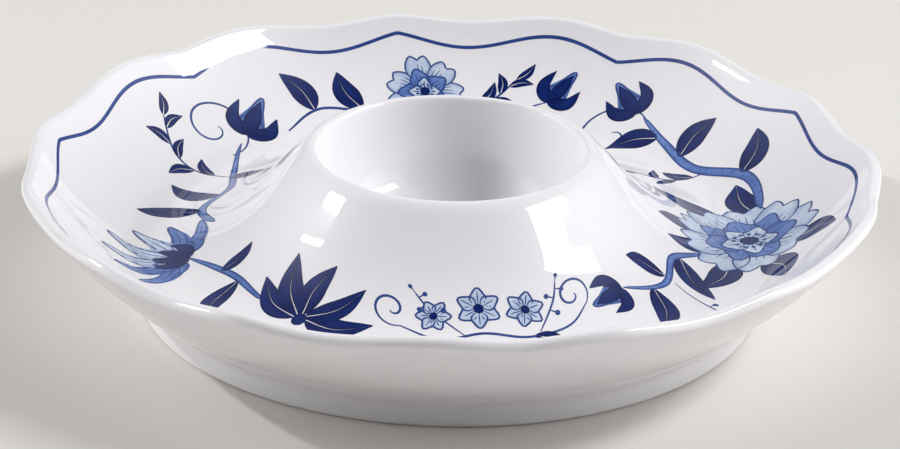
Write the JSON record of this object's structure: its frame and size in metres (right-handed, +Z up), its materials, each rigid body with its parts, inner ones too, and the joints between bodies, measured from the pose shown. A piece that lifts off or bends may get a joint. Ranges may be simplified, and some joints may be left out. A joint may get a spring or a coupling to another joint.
{
  "type": "egg cup",
  "caption": "Low porcelain egg cup: an egg well on a conical skirt rises from the middle of a lobed saucer dish on a foot ring.",
  "frame": {"origin": "on the table, on the axis of the egg well, under the foot ring", "axes": "+Z up along the axis of the egg well; -Y is the side nearest the viewer in the picture, +X is to the viewer's right"},
  "size_m": [0.1401, 0.1401, 0.0255],
  "materials": {
    "glazed_porcelain": "gloss transparent glaze on white hard-paste porcelain, with cobalt-blue underglaze flowers and a rim line inside the dish",
    "fired_slip": "matt fired porcelain slip in the joints"
  },
  "bodies": {
    "root": {"saucer_dish": "glazed_porcelain", "foot_ring": "glazed_porcelain", "cup_skirt": "glazed_porcelain", "egg_well": "glazed_porcelain", "foot_slip_seam": "fired_slip", "skirt_slip_seam": "fired_slip", "lip_slip_seam": "fired_slip"}
  },
  "joints": []
}
